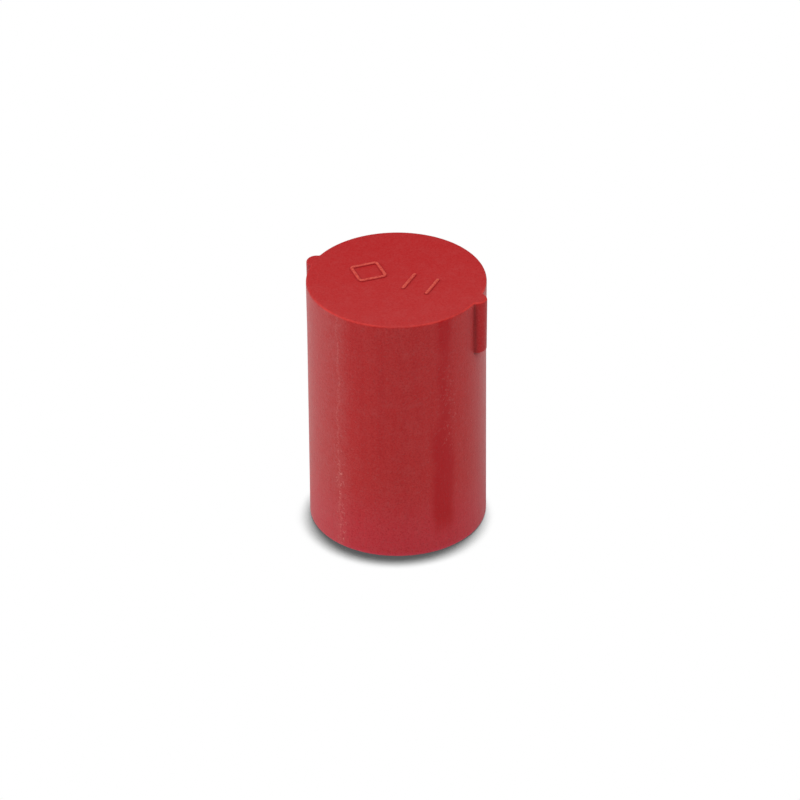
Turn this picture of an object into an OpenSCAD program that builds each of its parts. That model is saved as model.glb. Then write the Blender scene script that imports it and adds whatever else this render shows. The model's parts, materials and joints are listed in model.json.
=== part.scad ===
// Hollow plug with a closed top end and two half-round ribs.
// It stands on its open end: the origin is the centre of the bottom rim,
// +Z runs up the axis and +X points through the middle of one rib.
// All sizes are in millimetres.

/* [Body] */
// Outside diameter of the plain wall
outer_d = 17; // [14:0.5:40]
// Height from the bottom rim to the flat top
height = 26; // [16:0.5:60]
// Thickness of the round wall
wall = 1.5; // [1.2:0.1:3]
// Thickness of the closed top end
end_t = 2; // [1.2:0.1:4]

/* [Edges] */
// Rounding of the outer edge around the flat top
top_edge_r = 0.25; // [0.1:0.05:0.5]
// Rounding of the outer edge around the bottom rim
rim_edge_r = 0.2; // [0.1:0.05:0.4]
// Lead-in chamfer at the mouth of the hollow
mouth_chamfer = 0.3; // [0.1:0.1:0.6]
// Fillet in the inner corner under the closed end
core_fillet = 1; // [0.2:0.1:1.5]

/* [Ribs] */
// Number of ribs, evenly spaced around the wall
rib_count = 2; // [1:1:6]
// Radius of the half-round rib
rib_r = 1; // [0.6:0.1:1.2]
// How far the rib stands out from the wall
rib_rise = 0.8; // [0.3:0.1:1]
// Length of the rib, down from the flat top
rib_len = 5.6; // [2:0.2:12]
// How much the wall has widened at the flat top, over the length of the ribs
head_flare = 0.05; // [0.02:0.01:0.2]

/* [Raised mark] */
// Height of the mark above the flat top
mark_rise = 0.15; // [0.1:0.05:0.4]
// Width of the lines that the mark is drawn with
mark_line = 0.4; // [0.2:0.1:0.6]
// Height of the bars, across the rib line
mark_size = 3; // [2:0.5:4]
// Size of the diamond, from point to point
diamond_size = 4.2; // [2:0.2:5]
// Distance from the axis to the middle of the diamond
diamond_x = 2.9; // [2.5:0.1:3.5]
// Distance from the axis to the first bar
bar_x = 1.3; // [0.5:0.1:2]
// Step from bar to bar
bar_pitch = 2.4; // [1:0.1:2.4]
// Number of bars
bar_count = 2; // [1:1:3]

/* [Hidden] */
$fn = 96;
outer_r = outer_d / 2;
core_r = outer_r - wall;
core_depth = height - end_t;
rib_low = height - rib_len;
rib_centre = outer_r + rib_rise - rib_r;
// The mark starts this far inside the closed end, so that it is one with it
mark_root = end_t / 4;

// Half section of a round solid from zero to depth, whose radius grows by flare
// along the way, with a rounded edge at its far end
module half_section(radius, depth, edge_r, flare = 0) {
    far_r = radius + flare;
    polygon([[0, 0], [radius, 0], [far_r, depth - edge_r], [0, depth - edge_r]]);
    square([far_r - edge_r, depth]);
    translate([far_r - edge_r, depth - edge_r]) circle(edge_r);
}

// Outside: a straight wall up to the ribs, then the slightly flared head, both ends with a rounded edge
module outer_section() {
    translate([0, rib_low]) {
        half_section(outer_r, rib_len, top_edge_r, head_flare);
        mirror([0, 1]) half_section(outer_r, rib_low, rim_edge_r);
    }
}

// Hollow inside, open at the bottom rim with a chamfered mouth
module core_section() {
    half_section(core_r, core_depth, core_fillet);
    polygon([[0, 0], [core_r + mouth_chamfer, 0], [core_r, mouth_chamfer], [0, mouth_chamfer]]);
}

// Half-round rib, flush with the flat top and cut off square at its lower end
module rib() {
    translate([rib_centre, 0, rib_low])
        rotate_extrude() half_section(rib_r, rib_len, top_edge_r);
}

// Flat figure of the mark: an outlined diamond and a row of upright bars, in line with the ribs
module mark_figure() {
    diamond_side = diamond_size / sqrt(2);
    translate([-diamond_x, 0]) rotate(45) difference() {
        square(diamond_side, center = true);
        square(diamond_side - 2 * mark_line, center = true);
    }
    for (i = [0:bar_count - 1])
        translate([bar_x + i * bar_pitch, 0]) square([mark_line, mark_size], center = true);
}

module plug() {
    color("firebrick") {
        difference() {
            union() {
                rotate_extrude() outer_section();
                for (i = [0:rib_count - 1]) rotate([0, 0, i * 360 / rib_count]) rib();
            }
            rotate_extrude() core_section();
        }
        translate([0, 0, height - mark_root])
            linear_extrude(mark_root + mark_rise) mark_figure();
    }
}

plug();
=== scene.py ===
"""Hollow plug of moulded red plastic, standing on its open end on a pale studio floor."""

import json
import math

import bpy
from mathutils import Matrix, Vector


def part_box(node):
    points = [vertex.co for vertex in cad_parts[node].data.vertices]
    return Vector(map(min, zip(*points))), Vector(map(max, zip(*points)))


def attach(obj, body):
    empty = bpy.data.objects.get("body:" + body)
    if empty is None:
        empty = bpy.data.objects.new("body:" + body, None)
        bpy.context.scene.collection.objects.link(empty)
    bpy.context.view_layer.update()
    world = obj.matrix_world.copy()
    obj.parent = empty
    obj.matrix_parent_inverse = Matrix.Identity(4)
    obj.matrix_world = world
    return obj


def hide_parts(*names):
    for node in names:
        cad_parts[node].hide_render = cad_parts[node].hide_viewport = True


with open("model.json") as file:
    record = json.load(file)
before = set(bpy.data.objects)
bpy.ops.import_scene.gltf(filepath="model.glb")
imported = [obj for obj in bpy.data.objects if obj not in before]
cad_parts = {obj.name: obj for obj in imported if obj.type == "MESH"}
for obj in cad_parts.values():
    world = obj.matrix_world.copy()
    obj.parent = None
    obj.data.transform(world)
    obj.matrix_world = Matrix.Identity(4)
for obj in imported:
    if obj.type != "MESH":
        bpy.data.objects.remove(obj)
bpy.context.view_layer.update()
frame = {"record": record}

bl_info = {
    "name": "Hollow plug",
    "version": (1, 0, 0),
    "blender": (4, 5, 0),
    "location": "View3D > Sidebar > Plug",
    "description": "Makes a moulded plastic plug around its design frame, and a studio to show it in",
    "category": "Object",
}

MM = 0.001
MOUNTS = {mount["name"]: mount["dims"] for mount in frame["record"]["mounts"]}
PLUG_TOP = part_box("plug")[1]
WALL_RADIUS = MOUNTS["plug_wall"]["r_mm"] * MM
HOLLOW_RADIUS = MOUNTS["hollow"]["r_mm"] * MM
MARK_RISE = 0.15 * MM
HEIGHT = PLUG_TOP.z - MARK_RISE

# Fineness of the mesh
OUTLINE_POINTS = 2880
EDGE_STEPS = 7
BEAD_SIDES = 24
WELD = 0.001 * MM
FINE_WELD = 0.0005 * MM

# Places in the finish, around the axis
SHEEN_FADE = math.radians(27)  # from the painted sheen's middle to the softer band that fades it out
# A fainter painted sheen, on the other side of the wall
FAINT_SHEEN = math.radians(26)
BEADS_OFFSET = math.radians(4.5)  # from the darker band to the pale specks along it
SPECKS_OFFSET = math.radians(1)  # from the pale stripe to the pale specks along it
# Painted highlight on the top edge: the middle of the side where it is painted, and the place at the front
# where it is faint
HIGHLIGHT_MIDDLE = math.radians(-55)
HIGHLIGHT_GAP = math.radians(-65)
NEAR_X, NEAR_Y = 0.42, -0.91  # direction towards the camera, in which the flat top is painted paler as painted light, and away from which it is painted darker as painted shade

# The floor's shade beside whatever stands on it
CONTACT_SHADOW = 3 * MM
SHADE_DEEPEST = 0.442  # openness at which the shade is deepest
SHADE_GONE = 0.733  # openness at which the shade has gone
SHADE_LIGHT = 0.1  # how light the floor is in the deepest shade


def length(label, about, default):
    """A size in metres, shown in the scene's own unit."""
    return bpy.props.FloatProperty(
        name=label, description=about, default=default, min=0, precision=5,
        subtype="DISTANCE", unit="LENGTH")


def angle(label, about, degrees):
    """An angle, given here in degrees."""
    return bpy.props.FloatProperty(
        name=label, description=about, default=math.radians(degrees), subtype="ANGLE", unit="ROTATION")


def number(label, about, default):
    """A plain number, such as a strength or a share."""
    return bpy.props.FloatProperty(name=label, description=about, default=default, min=0)


def count(label, about, default, lowest=1):
    """A whole number."""
    return bpy.props.IntProperty(name=label, description=about, default=default, min=lowest)


def colour(label, about, default):
    """A colour in linear light."""
    return bpy.props.FloatVectorProperty(
        name=label, description=about, default=default, size=3, min=0, max=1, subtype="COLOR")


class PlugSizes(bpy.types.PropertyGroup):
    """Sizes of the moulding. Each one is also an input of the node tree that shapes it."""

    wall_radius: length("Wall radius", "Outside radius of the plain wall", WALL_RADIUS)
    height: length("Height", "From the bottom rim to the flat top", HEIGHT)
    hollow_radius: length("Hollow radius", "Radius of the hollow inside", HOLLOW_RADIUS)
    hollow_depth: length("Hollow depth", "From the bottom rim to the closed end", HEIGHT - 2 * MM)
    top_edge: length("Top edge", "Rounding of the edge around the flat top", 0.25 * MM)
    rim_edge: length("Rim edge", "Rounding of the outer edge of the bottom rim", 0.2 * MM)
    mouth_chamfer: length("Mouth chamfer", "Chamfer at the mouth of the hollow", 0.3 * MM)
    core_fillet: length("Core fillet", "Rounding of the corner deep inside", 1 * MM)
    head_flare: length("Head flare", "How much the wall has widened at the flat top", 0.05 * MM)
    rib_count: count("Ribs", "How many ribs are spaced around the head", 2)
    rib_radius: length("Rib radius", "Radius of a half-round rib", 1 * MM)
    rib_rise: length("Rib rise", "How far a rib stands out from the wall", PLUG_TOP.x - WALL_RADIUS)
    rib_length: length("Rib length", "Length of a rib, down from the flat top", 5.6 * MM)
    rib_edge: length("Rib edge", "Rounding at the lower end of a rib", 0.12 * MM)
    rib_root: length("Rib root", "Softness of the corner between rib and wall", 0.12 * MM)
    mark_rise: length("Mark rise", "Height of the raised mark", MARK_RISE)
    mark_line: length("Mark line", "Width of the mark's strokes", 0.4 * MM)
    mark_size: length("Mark size", "Height of the bars", 3 * MM)
    diamond_size: length("Diamond size", "Size of the diamond, from point to point", 4.2 * MM)
    diamond_x: length("Diamond place", "From the axis to the middle of the diamond", 2.9 * MM)
    bar_x: length("Bar place", "From the axis to the first bar", 1.3 * MM)
    bar_pitch: length("Bar pitch", "Step from bar to bar", 2.4 * MM)
    bar_count: count("Bars", "How many bars stand beside the diamond", 2)
    columns: count("Columns", "Facets around the moulding", 720, 64)
    facet: length("Facet", "Longest facet along the moulding's section", 1 * MM)


class PlugFinish(bpy.types.PropertyGroup):
    """Colours and grain of the plastic, and the light and shade painted on it. Angles are counted around
    the axis from the first rib.
    """

    body: colour("Body", "Colour of the plastic", (0.59, 0.0195, 0.0200))
    # Colour of the streaks, the pits and the darker band, and also of the painted shade on the ribs and on
    # the far side of the flat top
    deep: colour("Deep", "Colour of the dense flow band", (0.53, 0.0015, 0.0060))
    # Pale colour of the random cloud, dust and specks, and also of the painted sheen at the wall's sides
    # and the painted light on the top
    chalk: colour("Chalk", "Colour of the pale film and of scuffs", (0.60, 0.090, 0.090))
    # Colour of the highlight painted along the edge around the flat top
    worn: colour("Worn", "Colour of the worn edge around the flat top", (0.90, 0.052, 0.040))
    # Colour of the highlight painted on the crests of the raised mark
    mark: colour("Mark", "Colour of the crests of the raised mark", (0.86, 0.125, 0.085))
    # Colour of the pale stripe and of the pale specks on the wall
    scratch: colour("Scratch", "Colour of the bruised plastic in the scuff", (0.86, 0.260, 0.230))
    # Colour of the paler, cooler light painted low on the wall, and of the violet reflection painted at
    # the bottom rim
    cool: colour("Cool", "Colour of the faint haze low on the wall", (0.83, 0.065, 0.130))
    # Colour of the shade painted deep in the corners beside the ribs and the mark; the grain's pits are
    # also darkened towards it
    nook: colour("Nook", "Colour deep in the corners beside the ribs", (0.16, 0.004, 0.006))
    wall_roughness: number("Wall roughness", "Roughness of the wall", 0.36)
    top_roughness: number("Top roughness", "Roughness of the flat top", 0.62)
    grain: length("Grain", "Size of the fine moulded grain", 0.16 * MM)
    # Middle of the side where a pale sheen is painted on the wall, standing in for reflection where the
    # wall turns away
    film_angle: angle("Film", "Middle of the side with a pale film", -142)
    flow_angle: angle("Flow band", "Place of the dense flow band", -34.5)
    scuff_angle: angle("Scuff", "Place of the long upright scuff", -106.5)


class StageSettings(bpy.types.PropertyGroup):
    """Camera, floor and lights."""

    azimuth: angle("Azimuth", "Turn of the camera around the plug", 24.7)
    elevation: angle("Elevation", "Height of the camera's view above the floor", 32.96)
    roll: angle("Roll", "Tilt of the camera about its own view", -0.45)
    distance: length("Distance", "From the camera to the point it looks at", 586.5 * MM)
    aim_height: length("Aim height", "Height of the point that the camera looks at", 12.34 * MM)
    aim_side: length("Aim side", "How far that point lies to the right of the axis", 0.26 * MM)
    lens: number("Lens", "Focal length in millimetres", 276)
    floor: colour("Floor", "Colour of the floor", (0.92, 0.92, 0.92))
    surround: number("Surround", "Strength of the light from all around", 0.28)
    overhead: number("Overhead", "Power of the panel above", 1.92)
    left: number("Left panel", "Power of the panel at the camera's left", 0.62)
    right: number("Right panel", "Power of the panel at the camera's right", 0.18)


class Field:
    """A value that runs through a node tree. Arithmetic on it adds the nodes that work it out."""

    def __init__(self, tree, socket):
        self.tree = tree
        self.socket = socket

    def __add__(self, other):
        return self.tree.math("ADD", self, other)

    def __radd__(self, other):
        return self.tree.math("ADD", other, self)

    def __sub__(self, other):
        return self.tree.math("SUBTRACT", self, other)

    def __rsub__(self, other):
        return self.tree.math("SUBTRACT", other, self)

    def __mul__(self, other):
        return self.tree.math("MULTIPLY", self, other)

    def __rmul__(self, other):
        return self.tree.math("MULTIPLY", other, self)

    def __truediv__(self, other):
        return self.tree.math("DIVIDE", self, other)

    def __rtruediv__(self, other):
        return self.tree.math("DIVIDE", other, self)

    def squared(self):
        return self.tree.math("MULTIPLY", self, self)

    def root(self):
        return self.tree.math("SQRT", self)

    def cos(self):
        return self.tree.math("COSINE", self)

    def sin(self):
        return self.tree.math("SINE", self)

    def whole(self):
        return self.tree.math("FLOOR", self)

    def at_least(self, other):
        return self.tree.math("MAXIMUM", self, other)

    def at_most(self, other):
        return self.tree.math("MINIMUM", self, other)

    def size(self):
        return self.tree.math("ABSOLUTE", self)


class Tree:
    """Builds a node tree one step at a time."""

    def __init__(self, tree):
        self.tree = tree

    def node(self, kind, inputs=None, **settings):
        """Adds a node, with its settings, and its inputs given by name or place."""
        node = self.tree.nodes.new(kind)
        for name, value in settings.items():
            setattr(node, name, value)
        for key, value in (inputs or {}).items():
            self.feed(node.inputs[key], value)
        return node

    def feed(self, socket, value):
        """Links a field to a socket, or several, or sets the socket's own value."""
        if isinstance(value, Field):
            self.tree.links.new(value.socket, socket)
        elif isinstance(value, list):
            for each in value:
                self.tree.links.new(each.socket, socket)
        else:
            socket.default_value = value

    def add(self, kind, inputs=None, output=0, **settings):
        """Adds a node and gives one of its outputs."""
        return Field(self, self.node(kind, inputs, **settings).outputs[output])

    def math(self, operation, *values):
        return self.add("ShaderNodeMath", dict(enumerate(values)), operation=operation)

    def vector(self, x, y, z):
        return self.add("ShaderNodeCombineXYZ", {0: x, 1: y, 2: z})

    def split(self, vector):
        """The x, y and z of a vector."""
        node = self.node("ShaderNodeSeparateXYZ", {0: vector})
        return [Field(self, output) for output in node.outputs]

    def vector_math(self, operation, *values, output=0):
        return self.add("ShaderNodeVectorMath", dict(enumerate(values)), output, operation=operation)

    def scaled(self, vector, factor):
        return self.add("ShaderNodeVectorMath", {0: vector, "Scale": factor}, operation="SCALE")


def shape_inputs(tree, group_input):
    """One named input of the tree for each size, with the field that carries it."""
    kinds = {"FLOAT": "NodeSocketFloat", "INT": "NodeSocketInt"}
    fields = {}
    for prop in PlugSizes.bl_rna.properties:
        if prop.type in kinds and not prop.is_readonly:
            tree.tree.interface.new_socket(prop.name, in_out="INPUT", socket_type=kinds[prop.type])
            fields[prop.identifier] = Field(tree, group_input.outputs[prop.name])
    return type("Sizes", (), fields)


def head_outline(tree, size):
    """Plan of the head: the wall's circle, with a half-round rib at each of its evenly spaced places."""
    circle = tree.add("GeometryNodeCurvePrimitiveCircle", {"Resolution": OUTLINE_POINTS, "Radius": 1.0})
    x, y, _ = tree.split(tree.add("GeometryNodeInputPosition"))
    around = tree.math("ARCTAN2", y, x)
    half_step = math.pi / size.rib_count
    off_rib = tree.math("WRAP", around, half_step, 0 - half_step)
    rib_centre = size.wall_radius + size.rib_rise - size.rib_radius
    chord = (size.rib_radius.squared() - (rib_centre * off_rib.sin()).squared()).at_least(0).root()
    rib_reach = rib_centre * off_rib.cos() + chord
    reach = tree.math("SMOOTH_MAX", size.wall_radius + size.head_flare, rib_reach, size.rib_root)
    place = tree.vector(reach * around.cos(), reach * around.sin(), 0)
    return tree.add("GeometryNodeSetPosition", {"Geometry": circle, "Position": place})


def section_curve(tree, size):
    """Section from the middle of the flat top, down the outside, round the rim and up the hollow.

    X is the distance from the axis, Z the height, and Y how far the ribs stand out there.
    """
    rib_low = size.height - size.rib_length
    corners = [
        (0, size.rib_rise, size.height, 0),
        (size.wall_radius + size.head_flare, size.rib_rise, size.height, size.top_edge),
        (size.wall_radius, size.rib_rise, rib_low, size.rib_edge),
        (size.wall_radius, 0, rib_low, 0),
        (size.wall_radius, 0, 0, size.rim_edge),
        (size.hollow_radius + size.mouth_chamfer, 0, 0, 0),
        (size.hollow_radius, 0, size.mouth_chamfer, 0),
        (size.hollow_radius, 0, size.hollow_depth, size.core_fillet),
        (0, 0, size.hollow_depth, 0),
    ]
    places = [tree.vector(x, out, z) for x, out, z, _ in corners]
    roundings = [rounding for *_, rounding in corners]
    points = tree.add("GeometryNodePoints", {
        "Count": len(corners), "Position": choose_by_index(tree, "VECTOR", places)})
    line = tree.add("GeometryNodePointsToCurves", {"Points": points})
    rounded = tree.add("GeometryNodeFilletCurve", {
        "Curve": line, "Count": EDGE_STEPS, "Radius": choose_by_index(tree, "FLOAT", roundings)},
        mode="POLY")
    here = tree.add("GeometryNodeInputPosition")
    following = tree.add("GeometryNodeFieldAtIndex", {
        "Value": here, "Index": tree.add("GeometryNodeInputIndex") + 1}, data_type="FLOAT_VECTOR")
    step = tree.vector_math("DISTANCE", here, following, output="Value")
    cuts = (step / size.facet).whole()
    return tree.add("GeometryNodeSubdivideCurve", {"Curve": rounded, "Cuts": cuts})


def choose_by_index(tree, kind, items):
    """A field that gives each point its own item of a list."""
    index = tree.add("GeometryNodeInputIndex")
    node = tree.node("GeometryNodeIndexSwitch", {"Index": index}, data_type=kind)
    while len(node.index_switch_items) < len(items):
        node.index_switch_items.new()
    for place, item in enumerate(items):
        tree.feed(node.inputs[place + 1], item)
    return Field(tree, node.outputs[0])


def moulding(tree, size):
    """The plug's closed skin: a grid with a row for each point of the section, wrapped around the axis."""
    section = section_curve(tree, size)
    outline = head_outline(tree, size)
    rows = tree.add(
        "GeometryNodeAttributeDomainSize", {"Geometry": section}, "Point Count", component="CURVE")
    across = size.columns + 1
    grid = tree.add("GeometryNodeMeshGrid", {"Vertices X": rows, "Vertices Y": across})

    index = tree.add("GeometryNodeInputIndex")
    row = (index / across).whole()
    sampled = tree.add("GeometryNodeSampleIndex", {
        "Geometry": section, "Value": tree.add("GeometryNodeInputPosition"), "Index": row},
        data_type="FLOAT_VECTOR")
    radius, out, height = tree.split(sampled)

    sample = tree.node("GeometryNodeSampleCurve", {
        "Curves": outline, "Factor": (index - row * across) / size.columns}, use_all_curves=True)
    on_outline = Field(tree, sample.outputs["Position"])
    along_x, along_y, _ = tree.split(Field(tree, sample.outputs["Tangent"]))
    outwards = tree.vector(along_y, 0 - along_x, 0)

    widest = size.wall_radius + size.head_flare
    inset = (widest - radius).at_most(size.top_edge)
    head = tree.scaled(
        tree.vector_math("SUBTRACT", on_outline, tree.scaled(outwards, inset)), radius / (widest - inset))
    wall = tree.scaled(tree.vector_math("NORMALIZE", on_outline), radius)
    rib_share = out / size.rib_rise
    flat = tree.vector_math("ADD", tree.scaled(head, rib_share), tree.scaled(wall, 1 - rib_share))
    place = tree.vector_math("ADD", flat, tree.vector(0, 0, height))
    top_turn = (height - (size.height - size.top_edge)) * (radius - (widest - size.top_edge)).at_least(0)
    low_turn = (size.rim_edge - height) * (radius - (size.wall_radius - size.rim_edge)).at_least(0)
    turn = top_turn.at_least(0) / size.top_edge.squared() + low_turn.at_least(0) / size.rim_edge.squared()
    marked = tree.add("GeometryNodeStoreNamedAttribute", {
        "Geometry": grid, "Name": "edge", "Value": turn * 2})
    wrapped = tree.add("GeometryNodeSetPosition", {"Geometry": marked, "Position": place})
    return tree.add("GeometryNodeMergeByDistance", {"Geometry": wrapped, "Distance": WELD})


def mark_strokes(tree, size):
    """The raised mark: an outlined diamond and a row of bars, as soft beads half sunk in the flat top."""
    corner_reach = size.diamond_size / 2 - size.mark_line / math.sqrt(2)
    diamond = tree.add("GeometryNodeCurvePrimitiveCircle", {"Resolution": 4, "Radius": corner_reach})
    diamond = tree.add("GeometryNodeFilletCurve", {
        "Curve": diamond, "Count": 6, "Radius": size.mark_line * 0.7}, mode="POLY")
    diamond = tree.add("GeometryNodeTransform", {
        "Geometry": diamond, "Translation": tree.vector(0 - size.diamond_x, 0, 0)})

    half_bar = (size.mark_size - size.mark_line) / 2
    bar = tree.add("GeometryNodeCurvePrimitiveLine", {
        "Start": tree.vector(0, 0 - half_bar, 0), "End": tree.vector(0, half_bar, 0)})
    bar_places = tree.add("GeometryNodeMeshLine", {
        "Count": size.bar_count, "Start Location": tree.vector(size.bar_x, 0, 0),
        "Offset": tree.vector(size.bar_pitch, 0, 0)})
    bars = tree.add("GeometryNodeRealizeInstances", {
        "Geometry": tree.add("GeometryNodeInstanceOnPoints", {"Points": bar_places, "Instance": bar})})

    bead = tree.add("GeometryNodeCurvePrimitiveCircle", {
        "Resolution": BEAD_SIDES, "Radius": size.mark_line / 2})
    ball = tree.add("GeometryNodeMeshUVSphere", {
        "Segments": BEAD_SIDES, "Rings": BEAD_SIDES // 2, "Radius": size.mark_line / 2})
    ends = tree.add("GeometryNodeInstanceOnPoints", {
        "Points": bars, "Selection": tree.add("GeometryNodeCurveEndpointSelection"), "Instance": ball})
    beads = [tree.add("GeometryNodeCurveToMesh", {"Curve": path, "Profile Curve": bead, "Fill Caps": True})
             for path in (diamond, bars)]
    beads.append(tree.add("GeometryNodeRealizeInstances", {"Geometry": ends}))
    flatten = tree.vector(1, 1, 2 * size.mark_rise / size.mark_line)
    lift = tree.vector(0, 0, size.height)
    return [tree.add("GeometryNodeTransform", {"Geometry": each, "Translation": lift, "Scale": flatten})
            for each in beads]


def build_plug_tree():
    """The node tree that turns the plug's sizes into its mesh."""
    group = bpy.data.node_groups.new("plug_moulding", "GeometryNodeTree")
    tree = Tree(group)
    group.interface.new_socket("Geometry", in_out="OUTPUT", socket_type="NodeSocketGeometry")
    group.interface.new_socket("Material", in_out="INPUT", socket_type="NodeSocketMaterial")
    entry = group.nodes.new("NodeGroupInput")
    size = shape_inputs(tree, entry)
    whole = tree.add("GeometryNodeMeshBoolean", {
        "Mesh 2": [moulding(tree, size)] + mark_strokes(tree, size)}, operation="UNION", solver="MANIFOLD")
    whole = tree.add("GeometryNodeMergeByDistance", {"Geometry": whole, "Distance": FINE_WELD})
    crease = tree.math("LESS_THAN", tree.add("GeometryNodeInputMeshEdgeAngle"), math.radians(35))
    smooth = tree.add("GeometryNodeSetShadeSmooth", {
        "Geometry": whole, "Shade Smooth": True}, domain="FACE")
    creased = tree.add("GeometryNodeSetShadeSmooth", {
        "Geometry": smooth, "Shade Smooth": crease}, domain="EDGE")
    real = tree.add("GeometryNodeRealizeInstances", {"Geometry": creased})
    finished = tree.add("GeometryNodeSetMaterial", {
        "Geometry": real, "Material": Field(tree, entry.outputs["Material"])})
    tree.node("NodeGroupOutput", {"Geometry": finished})
    return group


def grown(name, group, settings, material):
    """Runs a node tree with its inputs set, and gives the result as a plain mesh object at the origin."""
    seed = bpy.data.objects.new(name + "_seed", bpy.data.meshes.new(name + "_seed"))
    bpy.context.scene.collection.objects.link(seed)
    modifier = seed.modifiers.new(name, "NODES")
    modifier.node_group = group
    values = {prop.name: getattr(settings, prop.identifier) for prop in settings.bl_rna.properties
              if prop.type in ("FLOAT", "INT")}
    values["Material"] = material
    for socket in group.interface.items_tree:
        if socket.in_out == "INPUT":
            modifier[socket.identifier] = values[socket.name]
    graph = bpy.context.evaluated_depsgraph_get()
    mesh = bpy.data.meshes.new_from_object(seed.evaluated_get(graph), depsgraph=graph)
    mesh.name = name
    seed.modifiers.remove(modifier)
    bpy.data.objects.remove(seed)
    piece = bpy.data.objects.new(name, mesh)
    bpy.context.scene.collection.objects.link(piece)
    return piece


def noise(tree, place, scale, detail=2.0, roughness=0.5):
    """Soft noise, from 0 to 1, with features of about 1 / scale millimetres."""
    return tree.add("ShaderNodeTexNoise", {
        "Vector": place, "Scale": scale, "Detail": detail, "Roughness": roughness})


def ramp(tree, value, low, high, to_low=0.0, to_high=1.0):
    """Eases from one value to another as its input goes from low to high."""
    return tree.add("ShaderNodeMapRange", {
        "Value": value, "From Min": low, "From Max": high, "To Min": to_low, "To Max": to_high},
        interpolation_type="SMOOTHSTEP")


def blend(tree, share, first, second):
    """Mixes two colours, each a field or three numbers, by a share from 0 to 1."""
    node = tree.node("ShaderNodeMix", data_type="RGBA")
    sockets = [socket for socket in node.inputs if socket.enabled]
    for socket, value in zip(sockets, (share, first, second)):
        tree.feed(socket, value if isinstance(value, (Field, float)) else (*value, 1))
    return Field(tree, [socket for socket in node.outputs if socket.enabled][0])


class Wall:
    """Places on the plug for its material, in millimetres, and the patterns that its layers share.

    The angle around the axis wavers a little, so that upright bands don't run dead straight.
    """

    def __init__(self, tree, finish, size):
        self.tree = tree
        self.place = tree.scaled(tree.add("ShaderNodeTexCoord", output="Object"), 1 / MM)
        self.x, self.y, self.z = tree.split(self.place)
        self.from_axis = (self.x.squared() + self.y.squared()).root()
        waver = noise(tree, tree.vector(self.x * 0.2, self.y * 0.2, self.z), 0.45, 3.0) - 0.5
        self.around = tree.math("ARCTAN2", self.y, self.x) + waver * math.radians(9)
        self.upright = tree.vector(self.x, self.y, self.z * 0.05)
        self.height = size.height / MM
        self.radius = size.wall_radius / MM
        self.top = ramp(tree, self.z, self.height - 0.2, self.height - 0.02)
        self.side = 1 - self.top
        self.cloud = noise(tree, self.place, 0.8, 6.0, 0.72)
        self.grain = noise(tree, self.place, MM / finish.grain, 3.0, 0.6)
        self.specks = ramp(tree, noise(tree, self.place, 3.2, 2.0, 0.7), 0.56, 0.70)

    def band(self, middle, half_width, softness):
        """1 along an upright band of the wall, easing to 0 beside it. Its widths are in degrees."""
        off = self.tree.math("WRAP", self.around - middle, math.pi, -math.pi).size()
        wide = math.radians(half_width)
        soft = math.radians(softness)
        return ramp(self.tree, off, wide + soft, wide - soft)


def clouded_plastic(tree, wall, finish):
    """The plastic's colour, with streaks, dust and pits in the grain; over it a painted sheen at the
    sides, painted light low down and painted shade on the ribs.
    """
    streaks = noise(tree, wall.upright, 1.4, 4.0, 0.6)
    streaky = ramp(tree, streaks, 0.40, 0.75, 0.0, 0.4) * wall.side
    tint = blend(tree, streaky, finish.body, finish.deep)
    tint = blend(tree, ramp(tree, wall.cloud, 0.40, 0.72, 0.0, 0.20), tint, finish.chalk)
    on_rib = ramp(tree, wall.from_axis, wall.radius + 0.1, wall.radius + 0.3) * wall.side
    # Painted sheen: pale bands painted where the wall turns away at its sides, standing in for reflection,
    # kept off the ribs
    sheen = wall.band(finish.film_angle, 41, 7) * wall.band(finish.film_angle + SHEEN_FADE, 45, 25) * 0.44
    sheen = sheen + wall.band(FAINT_SHEEN, 34, 18) * 0.26
    sheen = sheen * wall.side * (1 - on_rib) * ramp(tree, wall.cloud, 0.35, 0.62, 0.75, 1.2)
    tint = blend(tree, sheen, tint, finish.chalk)
    # Painted light: the wall paler and cooler towards the floor, with a violet reflection painted at the
    # bottom rim
    low = ramp(tree, wall.z, 9, 0, 0.0, 0.25) + ramp(tree, wall.z, 0.6, 0, 0.0, 0.4)
    tint = blend(tree, low, tint, finish.cool)
    # Painted shade: the ribs darker and deeper red than the wall
    tint = blend(tree, on_rib * 0.6, tint, finish.deep)
    dust = ramp(tree, wall.grain, 0.44, 0.68, 0.0, 0.26) * (0.7 + sheen * 2)
    pale = (dust + wall.specks * wall.side * (0.12 + sheen * 0.5)).at_most(1)
    tint = blend(tree, pale, tint, finish.chalk)
    pits = ramp(tree, wall.grain, 0.50, 0.30)
    tint = blend(tree, pits * (0.4 - sheen * 0.3), tint, finish.deep)
    return blend(tree, pits * (0.14 - wall.top * 0.08), tint, finish.nook)


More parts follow.
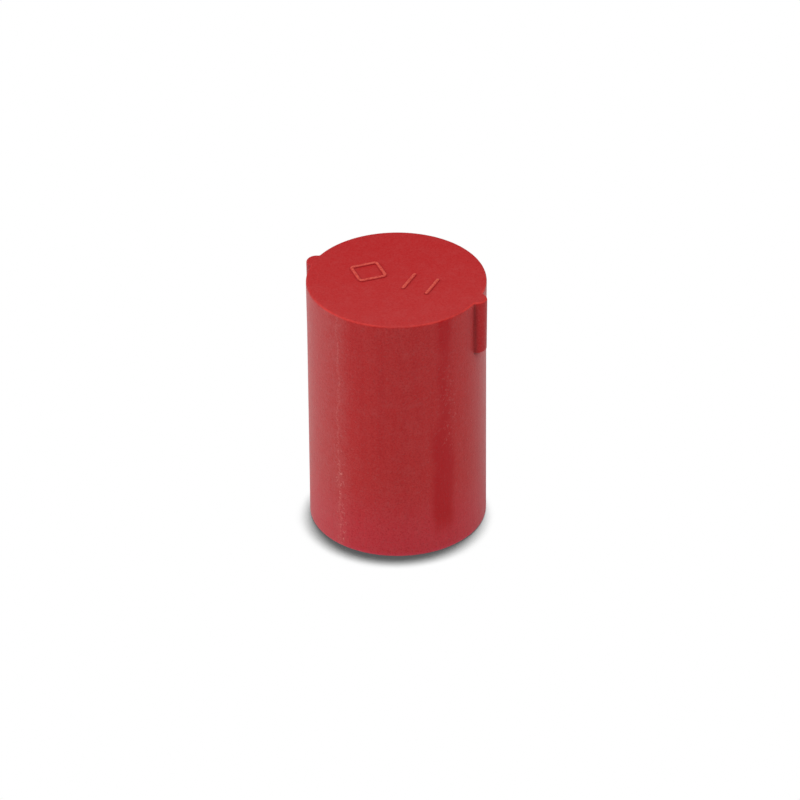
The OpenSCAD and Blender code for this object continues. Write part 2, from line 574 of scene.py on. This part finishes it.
def deeper_and_stripe(tree, wall, finish, tint):
    """An upright band of darker, deeper red with pale specks along it, and a long pale upright stripe."""
    # An upright band of darker, deeper red, broken by specks higher up, with pale specks beside it
    low_deeper = wall.band(finish.flow_angle, 7.5, 3.5) * ramp(tree, wall.z, 16, 11)
    high_deeper = wall.band(finish.flow_angle, 4, 3) * ramp(tree, wall.z, 11, 16, 0.0, 0.8)
    below_edge = ramp(tree, wall.z, wall.height - 4, wall.height - 1.5, 0.0, 0.5)
    fresh_deeper = wall.band(finish.flow_angle, 6, 4) * below_edge
    broken = 1 - wall.specks * ramp(tree, wall.z, 12, 15, 0.15, 0.9)
    deeper = ((low_deeper + high_deeper) * broken + fresh_deeper).at_most(1)
    tint = blend(tree, deeper * wall.side * ramp(tree, wall.z, 1, 4), tint, finish.deep)
    beads = wall.band(finish.flow_angle + BEADS_OFFSET, 4, 2) * wall.specks
    beads = beads * ramp(tree, wall.grain, 0.36, 0.54)
    beads = beads * ramp(tree, wall.z, 9, 13) * ramp(tree, wall.z, 22, 18)
    # A long pale upright stripe, with pale specks beside it low down
    stripe = wall.band(finish.scuff_angle, 0.7, 0.7) * ramp(tree, wall.grain, 0.42, 0.60, 0.05, 0.4)
    beside = wall.band(finish.scuff_angle + SPECKS_OFFSET, 3.0, 1.5) * wall.specks
    beside = beside * ramp(tree, wall.grain, 0.38, 0.54)
    stripe = stripe * 0.6 + beside * ramp(tree, wall.z, 13, 8, 0.0, 0.75) + beads * 0.27
    return blend(tree, stripe.at_most(1) * wall.side, tint, finish.scratch)


def top_and_edge(tree, wall, finish, tint):
    """The flat top, painted paler on the side towards the camera as painted light and darker on the far
    side as painted shade, with a highlight painted along its edge.
    """
    # Painted light and shade: the flat top paler on the side towards the camera and darker on the far side
    forward = ramp(tree, wall.x * NEAR_X + wall.y * NEAR_Y, 0 - wall.radius, wall.radius)
    tint = blend(tree, forward * wall.top * 0.12, tint, finish.chalk)
    tint = blend(tree, (1 - forward) * wall.top * 0.25, tint, finish.deep)
    edge = tree.add("ShaderNodeAttribute", output="Fac", attribute_name="edge")
    # Painted highlight along the rounded top edge, broken by the cloud, left off the far side and faint at
    # the front middle
    worn = ramp(tree, edge, 0.45, 0.95) * ramp(tree, wall.cloud, 0.36, 0.56, 0.12, 0.50)
    worn = worn * ramp(tree, wall.z, 1, 2)
    worn = worn * (wall.band(HIGHLIGHT_MIDDLE, 75, 20) - wall.band(HIGHLIGHT_GAP, 8, 8) * 0.8)
    return blend(tree, worn, tint, finish.worn)


def red_plastic(finish, size):
    """Moulded red plastic: a satin wall with a painted sheen, a darker band and a pale stripe, and a matte
    top, with painted shade in corners and painted highlights on the top edge and the mark.
    """
    material = bpy.data.materials.new("red_plastic")
    material.use_nodes = True
    tree = Tree(material.node_tree)
    shader = material.node_tree.nodes["Principled BSDF"]
    wall = Wall(tree, finish, size)
    tint = clouded_plastic(tree, wall, finish)
    tint = deeper_and_stripe(tree, wall, finish, tint)
    tint = top_and_edge(tree, wall, finish, tint)
    # Painted highlight: the crests of the mark's strokes paler, broken by the grain
    on_mark = ramp(tree, wall.z, wall.height + 0.07, wall.height + 0.14)
    on_mark = on_mark * ramp(tree, wall.grain, 0.35, 0.60, 0.25, 0.90)
    tint = blend(tree, on_mark, tint, finish.mark)
    # Painted shade: ambient occlusion darkens the corners beside the ribs, under their ends and, more
    # faintly, around the mark
    openness = tree.add("ShaderNodeAmbientOcclusion", {"Distance": 1.5 * MM}, output="AO", samples=12)
    nook = ramp(tree, openness, 0.97, 0.66, 0.0, 0.97) * ramp(tree, wall.z, 1.5, 3.0)
    nook = nook * (1 - wall.top * 0.7)
    tree.feed(shader.inputs["Base Color"], blend(tree, nook, tint, finish.nook))

    rough = finish.wall_roughness + (finish.top_roughness - finish.wall_roughness) * wall.top
    rough = rough + ramp(tree, wall.cloud, 0.3, 0.7, -0.03, 0.05) - on_mark * 0.3 + nook * 0.4
    tree.feed(shader.inputs["Roughness"], rough)
    tool_marks = noise(tree, wall.upright, 9.0, 2.0)
    relief = wall.grain * (0.6 + 0.4 * wall.top)
    relief = relief + (wall.specks * 0.5 + tool_marks * 0.5) * wall.side
    tree.feed(shader.inputs["Normal"], tree.add("ShaderNodeBump", {
        "Strength": 0.8, "Distance": 0.04 * MM, "Height": relief}, output="Normal"))
    shader.inputs["IOR"].default_value = 1.49
    shader.inputs["Specular IOR Level"].default_value = 0.27
    return material


class PLUG_OT_plug(bpy.types.Operator):
    """Makes the moulding and puts it in the place of the design's solid"""

    bl_idname = "plug.plug"
    bl_label = "Make plug"

    def execute(self, context):
        size = context.scene.plug_sizes
        material = red_plastic(context.scene.plug_finish, size)
        skin = grown("plug_moulding", build_plug_tree(), size, material)
        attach(skin, "root")
        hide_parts("plug")
        return {"FINISHED"}


def white_floor(tint, lean):
    """Pale floor with an even glow, seen to deepen on one side of whatever stands on it.

    The shade is soft and short, as under a broad light that leans from behind: lean points at it.
    """
    material = bpy.data.materials.new("studio_floor")
    material.use_nodes = True
    tree = Tree(material.node_tree)
    lit = material.node_tree.nodes["Principled BSDF"]
    lit.inputs["Base Color"].default_value = (*tint, 1)
    lit.inputs["Roughness"].default_value = 0.9
    openness = tree.add("ShaderNodeAmbientOcclusion", {
        "Distance": CONTACT_SHADOW, "Normal": tree.vector(*lean)}, output="AO", samples=24)
    shade = tree.add("ShaderNodeMapRange", {
        "Value": openness, "From Min": SHADE_DEEPEST, "From Max": SHADE_GONE,
        "To Min": SHADE_LIGHT, "To Max": 1.0})
    seen = tree.add("ShaderNodeEmission", {"Color": shade})
    direct = tree.add("ShaderNodeLightPath", output="Is Camera Ray")
    both = tree.add("ShaderNodeMixShader", {0: direct, 1: Field(tree, lit.outputs[0]), 2: seen})
    tree.feed(material.node_tree.nodes["Material Output"].inputs["Surface"], both)
    return material


def panel(name, width, azimuth, elevation, distance, power):
    """A square soft light that faces the plug."""
    lamp = bpy.data.lights.new(name, "AREA")
    lamp.size = width
    lamp.energy = power
    light = bpy.data.objects.new(name, lamp)
    towards = Matrix.Rotation(azimuth, 4, "Z") @ Matrix.Rotation(math.pi / 2 - elevation, 4, "X")
    light.matrix_world = towards @ Matrix.Translation((0, 0, distance))
    light.visible_camera = False
    bpy.context.scene.collection.objects.link(light)


class PLUG_OT_stage(bpy.types.Operator):
    """Makes the floor, the lights and the camera"""

    bl_idname = "plug.stage"
    bl_label = "Make stage"

    def execute(self, context):
        scene = context.scene
        stage = scene.plug_stage
        bpy.ops.mesh.primitive_circle_add(vertices=96, radius=4, fill_type="NGON")
        floor = context.object
        floor.name = "studio_floor"
        lean = Matrix.Rotation(stage.azimuth - math.radians(10), 3, "Z") @ Vector((0, 1, 1))
        floor.data.materials.append(white_floor(stage.floor, lean.normalized()))

        world = bpy.data.worlds.new("studio")
        world.use_nodes = True
        sky = Tree(world.node_tree)
        seen = sky.add("ShaderNodeLightPath", output="Is Camera Ray")
        sky.feed(world.node_tree.nodes["Background"].inputs["Color"], (1, 1, 1, 1))
        sky.feed(world.node_tree.nodes["Background"].inputs["Strength"], seen.at_least(stage.surround))
        scene.world = world
        scene.view_settings.view_transform = "Standard"

        panel("overhead_panel", width=0.5, azimuth=stage.azimuth, elevation=math.radians(80),
              distance=0.6, power=stage.overhead)
        panel("left_panel", width=0.3, azimuth=stage.azimuth - math.radians(92),
              elevation=math.radians(18), distance=0.5, power=stage.left)
        panel("right_panel", width=0.3, azimuth=stage.azimuth + math.radians(100),
              elevation=math.radians(18), distance=0.5, power=stage.right)

        camera = bpy.data.objects.new("camera", bpy.data.cameras.new("camera"))
        camera.data.lens = stage.lens
        camera.data.sensor_width = 36
        camera.data.clip_start = 0.01
        turn = Matrix.Rotation(stage.azimuth, 4, "Z")
        tilt = Matrix.Rotation(math.pi / 2 - stage.elevation, 4, "X")
        view = turn @ tilt @ Matrix.Rotation(stage.roll, 4, "Z")
        aim = turn @ Vector((stage.aim_side, 0, stage.aim_height))
        camera.matrix_world = Matrix.Translation(aim) @ view @ Matrix.Translation((0, 0, stage.distance))
        scene.collection.objects.link(camera)
        scene.camera = camera
        return {"FINISHED"}


class PLUG_PT_sidebar(bpy.types.Panel):
    """Sizes, finish and stage, each with the button that makes it"""

    bl_label = "Hollow plug"
    bl_space_type = "VIEW_3D"
    bl_region_type = "UI"
    bl_category = "Plug"

    def draw(self, context):
        scene = context.scene
        for settings in (scene.plug_sizes, scene.plug_finish):
            self.list_all(settings)
        self.layout.operator(PLUG_OT_plug.bl_idname)
        self.list_all(scene.plug_stage)
        self.layout.operator(PLUG_OT_stage.bl_idname)

    def list_all(self, settings):
        """A column with every value of one group."""
        column = self.layout.column(align=True)
        for name in settings.__annotations__:
            column.prop(settings, name)


CLASSES = (PlugSizes, PlugFinish, StageSettings, PLUG_OT_plug, PLUG_OT_stage, PLUG_PT_sidebar)


def register():
    for each in CLASSES:
        bpy.utils.register_class(each)
    bpy.types.Scene.plug_sizes = bpy.props.PointerProperty(type=PlugSizes)
    bpy.types.Scene.plug_finish = bpy.props.PointerProperty(type=PlugFinish)
    bpy.types.Scene.plug_stage = bpy.props.PointerProperty(type=StageSettings)


def unregister():
    del bpy.types.Scene.plug_stage
    del bpy.types.Scene.plug_finish
    del bpy.types.Scene.plug_sizes
    for each in reversed(CLASSES):
        bpy.utils.unregister_class(each)


def main():
    register()
    bpy.ops.plug.plug()
    bpy.ops.plug.stage()


if __name__ == "__main__":
    main()
